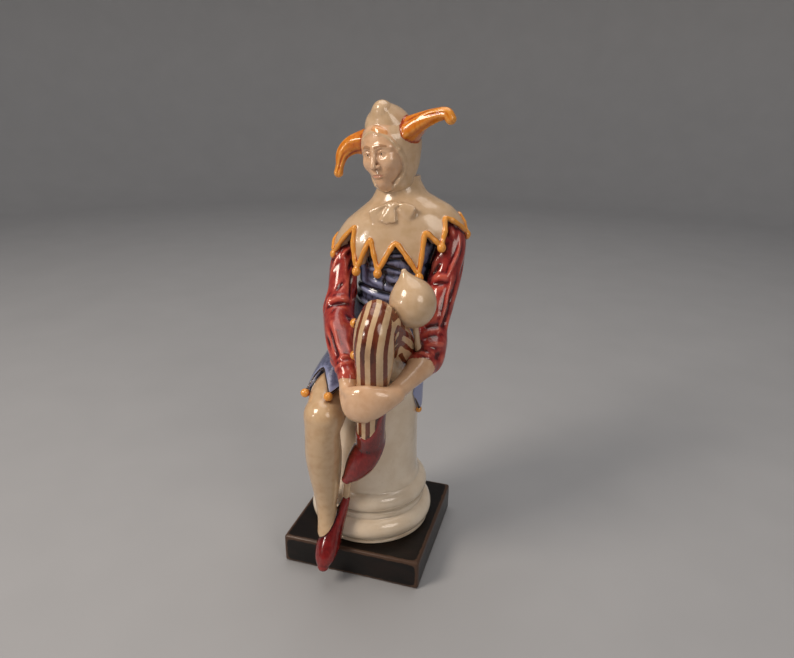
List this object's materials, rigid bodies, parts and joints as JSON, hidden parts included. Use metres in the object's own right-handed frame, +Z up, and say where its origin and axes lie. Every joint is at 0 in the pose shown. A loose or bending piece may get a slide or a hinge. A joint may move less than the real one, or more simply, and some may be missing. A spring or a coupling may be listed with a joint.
{
  "type": "jester figurine",
  "caption": "Glazed china jester seated on a round pedestal over a square slab, hands clasped round one raised shin.",
  "frame": {"origin": "middle of the slab's underside", "axes": "+Z up, -Y the slab's front edge, +X the figure's left side"},
  "size_m": [0.0892, 0.1046, 0.2531],
  "materials": {
    "figure_glaze": "gloss",
    "column_glaze": "gloss",
    "slab_glaze": "gloss"
  },
  "bodies": {
    "root": {"jester": "figure_glaze", "column": "column_glaze", "base": "slab_glaze"}
  },
  "joints": []
}
